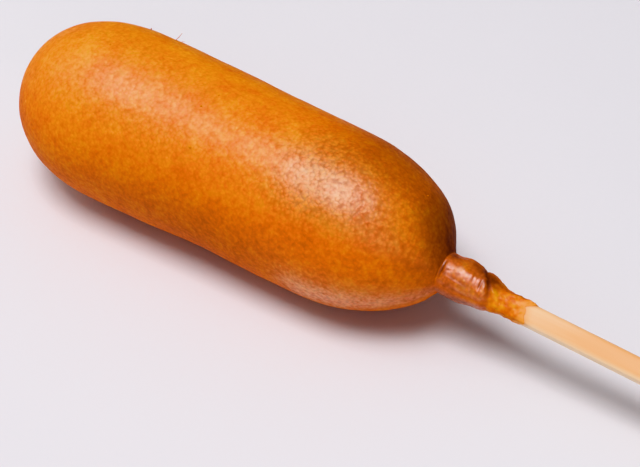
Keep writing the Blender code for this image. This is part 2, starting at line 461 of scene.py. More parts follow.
@dataclass(frozen=True)
class StickWoodFinish:
    """Bare sanded wood with straight fine grain along the stick.

    The piece's attribute paleness is 0 on plain wood and 1 on the palest, and below 0 on dark wood.
    Its palest parts are painted light on the face turned down and forward.
    Its attribute stain is 1 where a thin film of batter covers the wood.
    """

    pale: Colour = (1.0, 0.80, 0.55)
    plain: Colour = (0.88, 0.46, 0.195)
    dark: Colour = (0.66, 0.30, 0.115)
    batter: Colour = (0.82, 0.33, 0.055)
    fibres: float = 520.0
    pores: float = 1800.0
    bands: float = 420.0
    grain_height: float = 0.000010

    def build(self) -> Material:
        """Makes the material."""
        material, graph, shader = new_material("stick_wood")
        place = graph.place()
        along = graph.stretched(place, (0.035, 1.0, 1.0))
        grain = graph.mottle(along, self.fibres, self.pores, 0.45).outputs
        bands = graph.noise(graph.stretched(place, (0.02, 1.0, 1.0)), self.bands, 1.0, 0.5, 0.8)
        paleness = graph.attribute("paleness")
        tone = graph.weighted((grain["Mask"], 0.08), (bands, 0.28), (paleness, -0.46), (1.0, 0.375))
        wood = graph.ramp(tone, ((0.06, self.pale), (0.54, self.plain), (0.98, self.dark)))
        looks = {
            "Base Color": graph.mix(graph.attribute("stain"), wood, self.batter),
            "Roughness": graph.weighted((grain["Grain"], 0.14), (1.0, 0.44)),
            "Normal": graph.bumps((grain["Mask"], self.grain_height)),
            "Specular IOR Level": 0.4,
        }
        graph.feed(shader, looks)
        return material


@dataclass(frozen=True)
class PaperFinish:
    """Plain pale studio paper."""

    colour: Colour = (0.765, 0.742, 0.785)
    shaded: float = 0.985

    def build(self) -> Material:
        """Makes the material."""
        material, graph, shader = new_material("studio_paper")
        tooth = graph.mottle(graph.place(), 30.0, 900.0, 0.5).outputs["Mask"]
        darker = tuple(self.shaded * part for part in self.colour)
        colour = graph.mix(tooth, self.colour, darker)
        graph.feed(shader, {"Base Color": colour, "Roughness": 0.85, "Specular IOR Level": 0.15})
        return material


# Turned pieces and where they lie -----------------------------------------------------------


@dataclass(frozen=True)
class Spot:
    """Where a point was on the plain turned form: along the axis, off it, and around it."""

    x: float
    radius: float
    angle: float

    def point(self, centre: Vector) -> Vector:
        """The spot's place, with the axis moved to a centre."""
        around = (self.radius * math.cos(self.angle), self.radius * math.sin(self.angle))
        return Vector((self.x, *around)) + centre


def turn(outline: Sequence[Pair], segments: int) -> tuple[BMesh, list[Spot]]:
    """Spins an outline about the X axis.

    Args:
        outline: (x, radius) pairs along half of the section.
        segments: How many steps the turn has.

    Returns:
        The closed mesh, and the spot of each of its vertices.
    """
    mesh = bmesh.new()
    line = [mesh.verts.new((x, radius, 0.0)) for x, radius in outline]
    edges = [mesh.edges.new(pair) for pair in zip(line, line[1:])]
    bmesh.ops.spin(
        mesh,
        geom=line + edges,
        cent=ORIGIN,
        axis=(1.0, 0.0, 0.0),
        angle=math.tau,
        steps=segments,
        use_merge=True,
    )
    bmesh.ops.remove_doubles(mesh, verts=mesh.verts, dist=1e-7)
    bmesh.ops.recalc_face_normals(mesh, faces=mesh.faces)
    mesh.verts.index_update()
    spots = []
    for vertex in mesh.verts:
        x, y, z = vertex.co
        spots.append(Spot(x, math.hypot(y, z), math.atan2(z, y)))
    return mesh, spots


def displace(mesh: BMesh, moves: Sequence[Vector]) -> None:
    """Moves each vertex of a mesh by its own move."""
    for vertex, move in zip(mesh.verts, moves):
        vertex.co += move


def write_attributes(mesh: BMesh, values: Mapping[str, Sequence[float]]) -> None:
    """Stores numbers for each vertex, under the names that a material reads."""
    for name, numbers in values.items():
        layer = mesh.verts.layers.float.new(name)
        for vertex, number in zip(mesh.verts, numbers):
            vertex[layer] = number


def add_object(name: str, data: bpy.types.ID) -> Object:
    """Puts data in the scene as an object."""
    made = bpy.data.objects.new(name, data)
    bpy.context.scene.collection.objects.link(made)
    return made


def add_mesh(name: str, mesh: BMesh, material: Material) -> Object:
    """Puts a mesh in the scene as an object with a material, and frees the mesh."""
    data = bpy.data.meshes.new(name)
    mesh.to_mesh(data)
    mesh.free()
    data.materials.append(material)
    return add_object(name, data)


def finish_piece(mesh: BMesh, name: str, material: Material, node: str | None) -> Object:
    """Makes a finished mesh an object of the model.

    Args:
        mesh: The piece in the row frame. It is freed.
        name: The piece's name.
        material: Its material.
        node: The CAD node that it stands for, if any.

    Returns:
        The piece.
    """
    piece = add_mesh(name, mesh, material)
    piece.data.shade_smooth()
    if node is not None:
        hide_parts(node)
    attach(piece, BODY)
    LOG.info("%s: %d vertices, %d faces", name, len(piece.data.vertices), len(piece.data.polygons))
    return piece


@dataclass(frozen=True)
class Posture:
    """How the corn dog lies: its axis dips towards the stick, and then it is moved."""

    dip: float
    offset: Vector = ORIGIN

    def matrix(self) -> Matrix:
        """From the corn dog's own frame to the row frame."""
        return Matrix.Translation(self.offset) @ Matrix.Rotation(self.dip, 4, "Y")

    def fitted(self, mesh: BMesh, node: str) -> "Posture":
        """The same dip, moved so that a mesh meets a CAD node's box at its tip, sides and top.

        Args:
            mesh: A piece in the corn dog's own frame.
            node: The CAD node that the piece stands for.

        Returns:
            The posture that lays the piece where the node is.
        """
        low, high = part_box(node)
        level = Matrix.Rotation(self.dip, 4, "Y")
        along, sides, heights = zip(*(level @ vertex.co for vertex in mesh.verts))
        middle = 0.5 * (min(sides) + max(sides))
        target = 0.5 * (low[1] + high[1])
        offset = Vector((low[0] - min(along), target - middle, high[2] - max(heights)))
        return Posture(self.dip, offset)


# The stick ---------------------------------------------------------------------------------


@dataclass(frozen=True)
class WoodenStick:
    """A squared stick with well rounded corners that leans a little off the coat's axis."""

    half_width: float = 2.45 * MM
    squareness: float = 4.0
    turned: float = math.radians(32)
    length: float = 140.0 * MM
    end_x: float = 180.2 * MM
    chamfer: float = 0.4 * MM
    lean_side: float = math.radians(220)
    offset: float = 1.6 * MM
    offset_at: float = 113.5 * MM
    lean: float = math.radians(1.2)
    # Side of the stick that is painted paler: painted light on the face turned down and forward.
    lit_side: float = math.radians(212)
    segments: int = 96
    rings: int = 150

    def section(self, angle: float) -> float:
        """Radius of the rounded square section at an angle, over its half width."""
        turned = angle - self.turned
        power = self.squareness
        return (abs(math.cos(turned)) ** power + abs(math.sin(turned)) ** power) ** (-1.0 / power)

    def off_axis(self, distance: float) -> Vector:
        """Point that far from the coat's axis, on the side towards which the stick is off it."""
        return Vector((0.0, math.cos(self.lean_side), math.sin(self.lean_side))) * distance

    def centre(self, x: float) -> Vector:
        """Centre of the stick's section at x."""
        return self.off_axis(self.offset + math.tan(self.lean) * (x - self.offset_at))

    def outline(self) -> list[Pair]:
        """(x, radius) from the hidden end to the free one, with eased edges."""
        start, end = self.end_x - self.length, self.end_x
        inner, eased = self.half_width - self.chamfer, 0.3 * self.chamfer
        straight = self.length - 2.0 * self.chamfer
        steps = (straight * ring / self.rings for ring in range(self.rings + 1))
        side = [(start + self.chamfer + step, self.half_width) for step in steps]
        rounded = [(end - eased, self.half_width - eased), (end, inner)]
        return [(start, 0.0), (start, inner), *side, *rounded, (end, 0.6 * inner), (end, 0.0)]

    def whittle(self, spot: Spot, point: Vector) -> float:
        """How far the sanded surface stands off the plain bar: slow unevenness and raised grain."""
        on_side = smoothstep(spot.radius, self.half_width - self.chamfer, self.half_width)
        slow = 0.00003 * rough(Vector((0.12 * point.x, point.y, point.z)), 0.0022, 3.1)
        fibre = 0.000012 * rough(Vector((0.02 * point.x, point.y, point.z)), 0.00042, 8.4)
        return on_side * (slow + fibre)

    def paleness(self, spot: Spot, hem_x: float) -> float:
        """How pale the wood is: 0 is plain, 1 is palest, and the end grain is below 0."""
        # Painted light on the face turned down and forward; fresh wood by the hem is paler, and end
        # grain darker.
        lit_face = smoothstep(math.cos(spot.angle - self.lit_side), 0.25, 0.90)
        fresh = 1.0 - smoothstep(spot.x, hem_x, hem_x + 20.0 * MM)
        end_grain = smoothstep(spot.x, self.end_x - 0.2 * MM, self.end_x)
        return max(0.90 * lit_face, 0.40 * fresh) - 0.5 * end_grain

    def stain(self, spot: Spot, point: Vector, hem_x: float) -> float:
        """How much of a thin film of batter is on the wood, from 0 to 1, just past the hem."""
        reach = hem_x + (0.6 + 0.6 * rough(point, 0.0012, 4.9)) * MM
        return 0.60 * (1.0 - smoothstep(spot.x, reach - 1.0 * MM, reach + 1.2 * MM))

    def build(self, posture: Posture, finish: StickWoodFinish, hem: Callable[[float], float]) -> Object:
        """Makes the stick.

        Args:
            posture: How the corn dog lies.
            finish: The wood.
            hem: Gives the x at which the batter's collar ends, for an angle.

        Returns:
            The finished piece.
        """
        mesh, spots = turn(self.outline(), self.segments)
        for vertex, spot in zip(mesh.verts, spots):
            radius = spot.radius * self.section(spot.angle)
            vertex.co = Spot(spot.x, radius, spot.angle).point(self.centre(spot.x))
        mesh.normal_update()
        displace(mesh, [v.normal * self.whittle(s, v.co) for v, s in zip(mesh.verts, spots)])
        hems = [hem(spot.angle) for spot in spots]
        paleness = [self.paleness(s, x) for s, x in zip(spots, hems)]
        stain = [self.stain(s, v.co, x) for s, v, x in zip(spots, mesh.verts, hems)]
        write_attributes(mesh, {"paleness": paleness, "stain": stain})
        mesh.transform(posture.matrix())
        return finish_piece(mesh, "sanded_stick", finish.build(), "wooden_stick")


# The batter --------------------------------------------------------------------------------


@dataclass(frozen=True)
class Mark:
    """An oval, soft-edged fold, bulge, stain, patch of painted shade or patch of painted light of the
    crust.

    It lies along past the crease and at an angle round the axis, and its length is turned from the
    axis. Lengths are millimetres, and angles are degrees. Its tone adds to the browning_and_shading,
    and its toast_and_shade is an even darkening, deep brown crust on some marks and painted shade on
    others.
    """

    along: float
    angle: float
    half_length: float
    half_width: float
    turned: float = 0.0
    height: float = 0.0
    tone: float = 0.0
    toast_and_shade: float = 0.0

    def share(self, along: float, angle: float, radius: float) -> float:
        """How far a spot is in the mark.

        Args:
            along: Millimetres from the crease to the spot.
            angle: The spot's angle, in radians.
            radius: The spot's distance from the axis, in millimetres.

        Returns:
            1 at the mark's middle, falling to 0 outside it.
        """
        ahead = along - self.along
        if abs(ahead) > 3.0 * (self.half_length + self.half_width):
            return 0.0
        beside = angle_between(angle, math.radians(self.angle)) * radius
        turned = math.radians(self.turned)
        length = ahead * math.cos(turned) + beside * math.sin(turned)
        width = beside * math.cos(turned) - ahead * math.sin(turned)
        return math.exp(-((length / self.half_length) ** 2) - (width / self.half_width) ** 2)


@dataclass(frozen=True)
class BatterCoat:
    """The fried coat, with the collar of batter that crept down the stick."""

    stick: WoodenStick
    length: float = 114.2 * MM
    tip_radius: float = 21.6 * MM
    foot_radius: float = 18.9 * MM
    tip_cap_length: float = 27.6 * MM
    tip_cap_power: float = 2.14
    foot_cap_length: float = 28.3 * MM
    foot_cap_power: float = 2.06
    crease_offset: float = 1.3 * MM
    crease_filling: float = 0.34 * MM
    filling_reach: float = 1.5 * MM

    # Relief and tone are layers of noise: strength, size of the features, and seed.
    lumps: Table = ((0.000075, 0.0065, 1.7), (0.00009, 0.014, 5.2))
    dimples: Table = ((0.000018, 0.0024, 9.3),)
    turning_marks: Table = ((0.000012, 0.0012, 4.6),)
    puckers: Table = ((0.00016, 0.0022, 7.7),)
    blisters: Table = ((0.00025, 0.0014, 6.4), (0.00010, 0.0007, 8.1))
    drift: Table = ((0.06, 0.020, 2.2), (0.05, 0.007, 6.6))
    collar_patches: Table = ((0.10, 0.0020, 5.5), (0.07, 0.0009, 1.5))
    thin_edge: Table = ((1.6 * MM, 0.0020, 3.6), (1.4 * MM, 0.0008, 6.2))
    hem_tatters: Table = ((0.35 * MM, 0.0011, 2.6), (0.175 * MM, 0.0005, 7.9))

    # Slow swells: height, wavelength along the axis, waves around it, and turn.
    swells: Table = (
        (0.00022, 0.070, 1, 3.2),
        (0.00014, 0.043, 2, 2.3),
        (0.00008, 0.027, 3, 4.1),
    )

    # Collar: distance past the crease, mean radius, and how much thicker its thick side is.
    collar_stations: Table = (
        (0.0000, 0.00430, 0.00030),
        (0.0024, 0.00474, 0.00030),
        (0.0048, 0.00500, 0.00050),
        (0.0068, 0.00472, 0.00052),
        (0.0086, 0.00430, 0.00048),
        (0.0110, 0.00412, 0.00050),
        (0.0130, 0.00356, 0.00028),
        (0.0148, 0.00331, 0.00006),
        (0.0211, 0.00322, 0.00006),
    )
    thick_side: float = math.radians(40)
    square_from: float = 12.0 * MM
    squareness: float = 0.75
    hem_waves: Table = (
        (0.00060, 1, math.radians(50)),
        (0.00080, 3, math.radians(172)),
        (0.00018, 7, math.radians(20)),
    )
    hem_thickness: float = 0.08 * MM
    sleeve_thickness: float = 0.46 * MM
    cling_from: float = 12.8 * MM
    socket_gap: float = 0.06 * MM
    socket_depth: float = 78.0 * MM

    # Groove between the two steps of the collar, which slants round the stick.
    groove_at: float = 12.3 * MM
    groove_slant: float = 3.5 * MM
    groove_depth: float = 0.34 * MM
    groove_half_width: float = 0.60 * MM

    collar_grain: float = 0.55
    wrinkle_pitch: float = 1.05 * MM
    wrinkle_height: float = 0.030 * MM

    marks: tuple[Mark, ...] = (
        # Tanned patch along the top of the coat, and paler and browner places on its sides. The browner
        # places low on the sides and beside the crease are painted shade, and the pale place low by the
        # foot is painted light from the floor.
        Mark(-25.0, 115.0, 14.0, 7.5, 4.0, tone=-0.15, toast_and_shade=0.30),
        Mark(-98.0, 112.0, 9.0, 7.0, tone=-0.09),
        Mark(-62.0, 118.0, 26.0, 7.0, tone=-0.06),
        # Painted shade on the lower side, in this mark and the next.
        Mark(-58.0, 180.0, 26.0, 11.0, tone=0.08, toast_and_shade=0.17),
        Mark(-28.0, 170.0, 16.0, 8.0, tone=0.07),
        Mark(-9.0, 134.0, 7.0, 5.5, tone=0.04),
        Mark(-35.0, 103.0, 8.0, 5.0, tone=-0.08),
        # Painted light from the floor, low by the foot.
        Mark(-19.0, 194.0, 16.0, 5.5, tone=-0.18),
        # Painted shade beside the crease.
        Mark(-2.5, 150.0, 4.0, 3.5, tone=0.06, toast_and_shade=0.12),
        # Slit at the crease and the dark shoulder of the collar beside it, both darkened with painted
        # shade, and painted shade along the first step's upper and lower edges.
        Mark(0.5, 121.0, 0.42, 1.55, height=-0.36, tone=0.30, toast_and_shade=0.60),
        Mark(1.3, 114.0, 1.6, 2.4, height=0.26),
        Mark(1.2, 70.0, 2.4, 1.3, tone=0.30, toast_and_shade=0.35),
        Mark(7.4, 60.0, 2.8, 1.6, tone=0.12, toast_and_shade=0.36),
        Mark(6.0, 198.0, 3.5, 1.2, tone=0.10, toast_and_shade=0.35),
        # The collar's upper side, which is flatter than its lower side.
        Mark(6.0, 75.0, 3.0, 2.2, height=-0.26),
        Mark(12.2, 72.0, 2.2, 2.6, height=-0.48),
        Mark(16.4, 72.0, 2.6, 1.8, height=-0.22),
        # The first step of the collar: soft hollows darkened with painted shade, pale raised places, and
        # mustard and red stains.
        Mark(2.6, 119.0, 1.1, 0.30, -25.0, height=-0.07, tone=0.10),
        Mark(5.6, 134.0, 3.2, 0.50, 4.0, height=-0.11, tone=0.14, toast_and_shade=0.10),
        Mark(7.0, 164.0, 2.6, 0.45, 8.0, height=-0.10, tone=0.14, toast_and_shade=0.10),
        Mark(3.2, 160.0, 2.4, 1.1, tone=0.10),
        Mark(5.0, 96.0, 1.4, 0.6, 20.0, height=0.08, tone=-0.08),
        Mark(4.6, 149.0, 2.4, 1.1, height=0.09, tone=-0.04),
        Mark(10.2, 146.0, 1.2, 1.1, height=0.13, tone=-0.10),
        Mark(8.4, 78.0, 1.3, 1.3, tone=0.16, toast_and_shade=0.10),
        # Wrinkles beside the groove, with painted shade in their slits and a painted highlight on their
        # ridge.
        Mark(9.9, 119.0, 0.30, 1.15, height=-0.20, tone=0.26),
        Mark(10.9, 114.0, 0.36, 1.10, height=0.20, tone=-0.14),
        Mark(9.9, 152.0, 0.32, 0.90, 10.0, height=-0.10, tone=0.14),
        # The second step: dark on its top, with two raised blisters.
        Mark(11.6, 78.0, 2.2, 2.0, tone=0.26, toast_and_shade=0.72),
        Mark(10.4, 88.0, 0.42, 0.42, height=0.16, tone=-0.20, toast_and_shade=-0.20),
        Mark(12.9, 80.0, 0.48, 0.48, height=0.16, tone=-0.20, toast_and_shade=-0.20),
        # Pale blisters and brown hollows of the sleeve.
        Mark(13.7, 114.0, 0.80, 0.65, 30.0, height=0.14, tone=-0.26),
        Mark(14.4, 134.0, 0.70, 0.55, height=0.12, tone=-0.22),
        Mark(14.2, 160.0, 0.90, 0.70, height=0.12, tone=-0.26),
        Mark(15.9, 147.0, 0.70, 0.60, 20.0, height=0.12, tone=-0.22),
        Mark(16.0, 106.0, 0.70, 0.50, height=0.12, tone=-0.22),
        Mark(17.2, 101.0, 0.90, 0.60, height=-0.08, tone=0.16),
        Mark(17.6, 150.0, 0.60, 1.20, height=-0.08, tone=0.14),
        Mark(19.3, 128.0, 0.50, 0.90, height=-0.04, tone=0.12),
        Mark(17.5, 68.0, 4.0, 0.75, tone=0.22, toast_and_shade=0.22),
    )

    # Painted shade: the angle of the lower side that is painted darker, and which way the end and the
    # shoulder face that are painted dark, the end also a little browned.
    shaded_under: float = math.radians(225)
    shaded_and_browned_end: Triple = (0.86, 0.25, 0.44)
    shaded_shoulder: Triple = (0.30, 0.45, 0.84)
    shoulder_span: Pair = (72.0 * MM, 95.0 * MM)
    # How dark the painted shade is on the end, whose crust is also browned, on the shoulder and in the
    # groove; the collar's even darkening is its own colour.
    end_shade_and_toast: float = 0.74
    shoulder_shade: float = 0.40
    collar_toast: float = 0.09
    groove_shade: float = 0.34

    # Where oil stayed on the crust, and how much of it: (x, thickness) along the upper side.
    oily_side: float = math.radians(112)
    oily_spread: Pair = (0.74, 0.96)
    oily_collar_spread: Pair = (0.40, 0.92)
    oily_edge: float = math.radians(200)
    oily_edge_width: float = math.radians(20)
    edge_film: float = 1.1
    least_film: float = 0.06
    collar_film: float = 2.1
    sleeve_dryness: float = 1.75
    oil_stations: Table = (
        (0.003, 0.0),
        (0.016, 0.66),
        (0.030, 0.88),
        (0.048, 0.82),
        (0.063, 0.50),
        (0.073, 0.72),
        (0.083, 1.90),
        (0.090, 1.50),
        (0.099, 1.20),
        (0.112, 0.80),
    )

    flat_softness: float = 0.12 * MM
    segments: int = 248
    tip_rings: int = 66
    side_rings: int = 132
    foot_rings: int = 70
    collar_rings: int = 118

    @property
    def collar_length(self) -> float:
        """Mean length of the collar."""
        return self.collar_stations[-1][0]

    @property
    def crease_radius(self) -> float:
        """Radius at which the coat meets the collar."""
        return self.collar_stations[0][1]

    @property
    def crease_reach(self) -> float:
        """Reach along the foot's rounded end at which the collar starts."""
        share = self.crease_radius / self.foot_radius
        return (1.0 - share**self.foot_cap_power) ** (1.0 / self.foot_cap_power)

    @property
    def crease_x(self) -> float:
        """Where the coat meets the collar."""
        return self.length - self.foot_cap_length * (1.0 - self.crease_reach)

    @property
    def hem_x(self) -> float:
        """Where the collar ends, on the mean."""
        return self.crease_x + self.collar_length

    @property
    def posture(self) -> Posture:
        """The posture that lays the tapering coat's lowest line level."""
        return Posture(math.atan2(self.tip_radius - self.foot_radius, self.length))

    def side_radius(self, x: float) -> float:
        """Radius of the coat's straight taper at x."""
        return self.tip_radius + (self.foot_radius - self.tip_radius) * x / self.length

    def coat_outline(self) -> list[Pair]:
        """(x, radius) from the tip's pole to the crease above the collar."""
        rows = []
        for ring in range(self.tip_rings):
            reach = math.cos(0.5 * math.pi * ring / self.tip_rings)
            rows.append((self.tip_cap_length * (1.0 - reach), cap_share(reach, self.tip_cap_power)))
        side_length = self.length - self.tip_cap_length - self.foot_cap_length
        for ring in range(self.side_rings):
            rows.append((self.tip_cap_length + side_length * ring / self.side_rings, 1.0))
        last_angle = math.asin(self.crease_reach)
        for ring in range(self.foot_rings):
            reach = math.sin(last_angle * ring / self.foot_rings)
            x = self.length - self.foot_cap_length * (1.0 - reach)
            rows.append((x, cap_share(reach, self.foot_cap_power)))
        return [(x, self.side_radius(x) * share) for x, share in rows]

    def outline(self) -> list[Pair]:
        """(x, radius) round half of the section: coat, collar, hem and the stick's socket."""
        points = self.coat_outline()
        for ring in range(self.collar_rings + 1):
            along = self.collar_length * ring / self.collar_rings
            points.append((self.crease_x + along, smooth_through(self.collar_stations, along, 1)))
        wall = self.stick.half_width + self.socket_gap
        bottom = self.hem_x - self.socket_depth
        return points + [(self.hem_x, wall), (bottom, wall), (bottom, 0.0)]

    def zone(self, spot: Spot) -> Zone:
        """Which surface of the batter a spot is on."""
        wall = self.stick.half_width + self.socket_gap
        if spot.radius < wall + 0.01 * MM and spot.x > self.hem_x - self.socket_depth - MM:
            return Zone.SOCKET
        return Zone.COAT if spot.x < self.crease_x else Zone.COLLAR

    def swell(self, spot: Spot) -> float:
        """How far the coat's slow swells lift a spot."""
        fullness = min(1.0, spot.radius / self.side_radius(spot.x))
        waves = sum(
            height * math.sin(math.tau * spot.x / length + turned)
            * math.cos(around * spot.angle + 2.0 * turned)
            for height, length, around, turned in self.swells
        )
        return waves * fullness**2

    def hem_shift(self, angle: float) -> float:
        """How far the collar's ragged hem runs past its mean length, at an angle."""
        waves = sum(
            height * math.cos(around * (angle - crest)) for height, around, crest in self.hem_waves
        )
        rim = Spot(0.0, 2.8 * MM, angle).point(ORIGIN)
        return waves + layered(rim, self.hem_tatters)

    def hem_at(self, angle: float) -> float:
        """Where the collar's hem is, at an angle."""
        return self.hem_x + self.hem_shift(angle)

    def shaped_coat(self, spot: Spot) -> Vector:
        """Place of a spot of the coat, which meets the stick off its own axis."""
        fullness = min(1.0, spot.radius / self.side_radius(spot.x))
        lowest = 1.0 - self.crease_radius / self.foot_radius
        drift = smoothstep(1.0 - fullness, 0.25, lowest) if spot.x > 0.5 * self.length else 0.0
        swollen = Spot(spot.x, spot.radius + self.swell(spot), spot.angle)
        return swollen.point(self.stick.off_axis(self.crease_offset * drift))

    def shaped_collar(self, spot: Spot) -> Vector:
        """Place of a spot of the collar, which takes on the stick's section towards its hem."""
        along = spot.x - self.crease_x
        lean = smooth_through(self.collar_stations, along, 2) * math.cos(spot.angle - self.thick_side)
        squareness = self.squareness * smoothstep(along, self.square_from, self.collar_length)
        mean_share = 0.5 * (1.0 + 2.0 ** (0.5 - 1.0 / self.stick.squareness))
        section = 1.0 + squareness * (self.stick.section(spot.angle) / mean_share - 1.0)
        stretch = smoothstep(along, 0.4 * self.collar_length, self.collar_length)
        x = spot.x + self.hem_shift(spot.angle) * stretch
        radius = spot.radius * section + lean
        wood = self.stick.half_width * self.stick.section(spot.angle) + self.socket_gap
        on_thick_side = 0.5 + 0.5 * math.cos(spot.angle - self.thick_side)
        thinning = 1.0 - smoothstep(along, self.collar_length - 1.3 * MM, self.collar_length)
        sleeve = wood + self.hem_thickness + self.sleeve_thickness * on_thick_side * thinning
        clinging = smoothstep(along, self.cling_from, self.cling_from + 3.0 * MM)
        radius += (sleeve - radius) * clinging
        return Spot(x, radius, spot.angle).point(self.stick.centre(x))

    def shaped_socket(self, spot: Spot) -> Vector:
        """Place of a spot of the socket, a little clear of the stick."""
        gap = self.socket_gap if spot.radius > 0.5 * self.stick.half_width else 0.0
        wood = (spot.radius - gap) * self.stick.section(spot.angle)
        x = spot.x + (self.hem_shift(spot.angle) if spot.x > self.crease_x else 0.0)
        return Spot(x, wood + gap, spot.angle).point(self.stick.centre(x))

    def filling(self, spot: Spot) -> Vector:
        """How far the batter that filled the crease moves a spot."""
        rise = spot.radius - self.crease_radius if spot.x < self.crease_x else 0.0
        from_crease = math.hypot(spot.x - self.crease_x, rise)
        slanting = Spot(1.0, 1.0, spot.angle).point(ORIGIN)
        return slanting * self.crease_filling * hump(from_crease, 0.0, self.filling_reach)

    def groove(self, spot: Spot) -> float:
        """How deep a spot is in the slanting groove, from 0 beside it to 1 at its bottom."""
        side = max(0.0, math.cos(spot.angle - self.thick_side))
        middle = self.groove_at - self.groove_slant * side**2
        along = spot.x - self.crease_x
        lower = smoothstep(math.cos(spot.angle - self.thick_side), -0.8, 0.1)
        return hump(along, middle, self.groove_half_width) * (0.35 + 0.65 * lower)

    def marked(self, spot: Spot) -> Station:
        """The height, tone and toast that the marks give a spot between them."""
        along = (spot.x - self.crease_x) / MM
        shares = [(mark, mark.share(along, spot.angle, spot.radius / MM)) for mark in self.marks]
        kinds = ("height", "tone", "toast_and_shade")
        return tuple(sum(share * getattr(mark, kind) for mark, share in shares) for kind in kinds)

    def coat_relief(self, spot: Spot, point: Vector) -> float:
        """Height of the fried crust over the smooth coat: lumps, dimples and turning marks."""
        turned = Vector((point.x, 0.24 * point.y, 0.24 * point.z))
        everywhere = layered(point, (*self.lumps, *self.dimples)) + layered(turned, self.turning_marks)
        at_crease = hump(spot.x, self.crease_x - 1.5 * MM, 1.4 * MM) * layered(point, self.puckers)
        clear = 1.0 if spot.x < self.crease_x - 2.0 * MM else 0.5
        return clear * everywhere + at_crease

    def collar_relief(self, spot: Spot, point: Vector) -> float:
        """Height of the crust on the collar: lumpy, wrinkled at its groove, blistered past it."""
        along = spot.x - self.crease_x
        blistered = smoothstep(along, 9.5 * MM, 12.5 * MM)
        near_hem = 1.0 - 0.8 * smoothstep(along, self.collar_length - 2.0 * MM, self.collar_length)
        drawn = Vector((0.55 * point.x, point.y, point.z))
        folds = 0.00013 * rough(drawn, 0.0019, 2.9) + 0.00003 * rough(point, 0.0009, 3.3)
        coarse = layered(point, self.blisters)
        slant = along + 0.6 * MM * math.cos(spot.angle - self.thick_side)
        phase = math.tau * slant / self.wrinkle_pitch + 4.0 * rough(point, 0.0030, 7.1)
        wrinkles = self.wrinkle_height * math.sin(phase) * hump(along, 9.0 * MM, 2.6 * MM)
        relief = near_hem * (folds * (1.0 - 0.6 * blistered) + wrinkles + blistered * coarse)
        at_crease = smoothstep(along, 0.0, 1.2 * MM)
        return relief * at_crease - self.groove_depth * self.groove(spot)

    def browning_and_shading(self, spot: Spot, point: Vector, normal: Vector, zone: Zone) -> float:
        """How brown the crust is, with painted shade on its lower side, its end, its shoulder, at the
        crease
        and in the groove: 0.5 is plain, less is golden, and more is darker.

        Args:
            spot: Where it was on the plain turned form.
            point: Where it is.
            normal: Which way the surface faces there.
            zone: The surface that it is on.

        Returns:
            The tone of the crust.
        """
        towards_foot = 0.13 * smoothstep(spot.x, 0.15 * self.length, self.crease_x)
        # Painted shade on the lower side, weaker towards the foot.
        strength = 0.17 - 0.07 * smoothstep(spot.x, 60.0 * MM, 95.0 * MM)
        underneath = strength * smoothstep(math.cos(spot.angle - self.shaded_under), -0.3, 0.9)
        tone = 0.39 + layered(point, self.drift) + towards_foot + underneath
        if zone is Zone.COAT:
            # Painted shade on the end and the shoulder, which face away from the lights, and at the
            # crease; the end is browned as well.
            end = smoothstep(normal.dot(Vector(self.shaded_and_browned_end)), 0.60, 0.97)
            shoulder = smoothstep(normal.dot(Vector(self.shaded_shoulder)), 0.78, 1.0)
            tone += 0.10 * shoulder * smoothstep(spot.x, *self.shoulder_span)
            tone += 0.10 * end + 0.10 * hump(spot.x, self.crease_x, 1.3 * MM)
        else:
            sleeve = smoothstep(spot.x - self.crease_x, 11.5 * MM, 13.5 * MM)
            patchy = (1.0 + 1.6 * sleeve) * layered(point, self.collar_patches)
            # Paler sleeve, patches of colour, and painted shade in the groove.
            tone += 0.07 - 0.20 * sleeve + patchy + 0.28 * self.groove(spot)
        return tone

    def toasting_and_shade(self, spot: Spot, normal: Vector, zone: Zone) -> float:
        """How far the crust is evenly dark: painted shade on the coat's end, whose crust is browned as
        well, on its shoulder and in the collar's groove, and the collar's own darker colour.

        Args:
            spot: Where it was on the plain turned form.
            normal: Which way the surface faces there.
            zone: The surface that it is on.

        Returns:
            0 where the crust keeps its own colour, up to 1.
        """
        if zone is not Zone.COAT:
            sleeve = smoothstep(spot.x - self.crease_x, 10.5 * MM, 13.0 * MM)
            return self.collar_toast - 0.02 * sleeve + self.groove_shade * self.groove(spot)
        # Painted shade on the end and the shoulder, by which way the surface faces.
        end = self.end_shade_and_toast * smoothstep(normal.dot(Vector(self.shaded_and_browned_end)), 0.70, 1.0)
        shoulder = self.shoulder_shade * smoothstep(normal.dot(Vector(self.shaded_shoulder)), 0.74, 1.0)
        return max(end, shoulder * smoothstep(spot.x, *self.shoulder_span))

    def oil(self, spot: Spot, zone: Zone) -> float:
        """How much oil is on the crust: most along the upper side, and hardly any on the sleeve.

        Args:
            spot: Where it was on the plain turned form.
            zone: The surface that it is on.

        Returns:
            The thickness of the film, from 0 to 1.
        """
        facing = math.cos(spot.angle - self.oily_side)
        upper = smoothstep(facing, *(self.oily_spread if zone is Zone.COAT else self.oily_collar_spread))
        lower = hump(angle_between(spot.angle, self.oily_edge), 0.0, self.oily_edge_width)
        edge = self.edge_film * lower * smoothstep(spot.x, 76.0 * MM, 96.0 * MM)
        film = max(upper, edge, self.least_film)
        if zone is Zone.COAT:
            return film * smooth_through(self.oil_stations, spot.x, 1)
        sleeve = smoothstep(spot.x - self.crease_x, 10.5 * MM, 13.0 * MM)
        return film * (self.collar_film - self.sleeve_dryness * sleeve)

    def thinness(self, spot: Spot, point: Vector, zone: Zone) -> float:
        """How far the wood shows through the batter: from 0 on the sleeve towards 1 at its hem."""
        if zone is Zone.COAT:
            return 0.0
        from_hem = self.collar_length - (spot.x - self.crease_x)
        return 1.0 - smoothstep(from_hem + layered(point, self.thin_edge), 0.0, 3.0 * MM)

    def settle(self, mesh: BMesh) -> None:
        """Presses the underside of a laid-down coat softly flat on z = 0."""
        for vertex in mesh.verts:
            z = vertex.co.z
            if z < 10.0 * self.flat_softness:
                vertex.co.z = 0.5 * (z + math.hypot(z, self.flat_softness))

